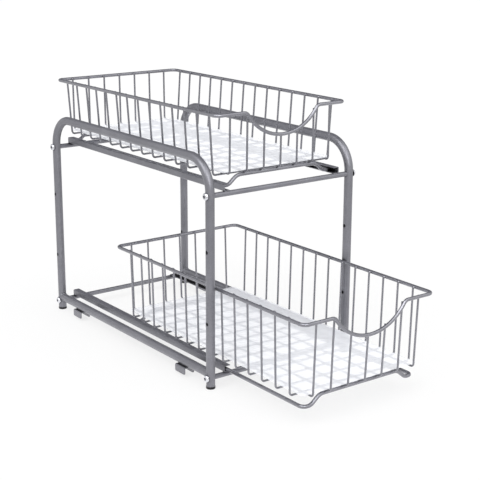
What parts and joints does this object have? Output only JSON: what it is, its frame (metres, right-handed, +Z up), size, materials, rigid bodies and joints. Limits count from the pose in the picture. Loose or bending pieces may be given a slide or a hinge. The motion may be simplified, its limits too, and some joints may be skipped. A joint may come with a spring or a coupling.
{
  "type": "under sink organizer",
  "caption": "Two-tier under-sink organizer: a bolted tube frame with wire baskets that slide out on wire runners in channel rails.",
  "frame": {"origin": "on the floor, under the middle of the outline at rest, which has the lower basket drawn out by 188 mm", "axes": "+Y from the front to the rear, along the slides; +X to the right seen from the front; +Z up from the floor"},
  "size_m": [0.2654, 0.6316, 0.383],
  "materials": {
    "frame_paint": "silver-grey powder coat, satin",
    "basket_paint": "silver-grey powder coat on wire, satin",
    "bolt_chrome": "bright plated",
    "foot_rubber": "black moulded plastic, satin",
    "liner_plastic": "translucent white sheet, frosted"
  },
  "bodies": {
    "frame": {"left_hoop": "frame_paint", "left_side_tube": "frame_paint", "left_front_foot": "foot_rubber", "left_front_clip": "frame_paint", "left_rear_foot": "foot_rubber", "left_rear_clip": "frame_paint", "right_hoop": "frame_paint", "right_side_tube": "frame_paint", "right_front_foot": "foot_rubber", "right_front_clip": "frame_paint", "right_rear_foot": "foot_rubber", "right_rear_clip": "frame_paint", "upper_front_crossbar": "frame_paint", "upper_rear_crossbar": "frame_paint", "upper_left_rail": "frame_paint", "upper_right_rail": "frame_paint", "upper_bolts": "bolt_chrome", "lower_front_crossbar": "frame_paint", "lower_rear_crossbar": "frame_paint", "lower_left_rail": "frame_paint", "lower_right_rail": "frame_paint", "lower_bolts": "bolt_chrome"},
    "upper_basket": {"upper_rim": "basket_paint", "upper_runner": "basket_paint", "upper_cross_wires": "basket_paint", "upper_long_wires": "basket_paint", "upper_liner": "liner_plastic"},
    "lower_basket": {"lower_rim": "basket_paint", "lower_runner": "basket_paint", "lower_cross_wires": "basket_paint", "lower_long_wires": "basket_paint", "lower_liner": "liner_plastic"}
  },
  "joints": [
    {"name": "upper_basket_slide", "type": "slide", "parent": "frame", "child": "upper_basket", "axis": [0, -1, 0], "range_m": [0, 0.24]},
    {"name": "lower_basket_slide", "type": "slide", "parent": "frame", "child": "lower_basket", "axis": [0, -1, 0], "range_m": [-0.188, 0.052]}
  ]
}
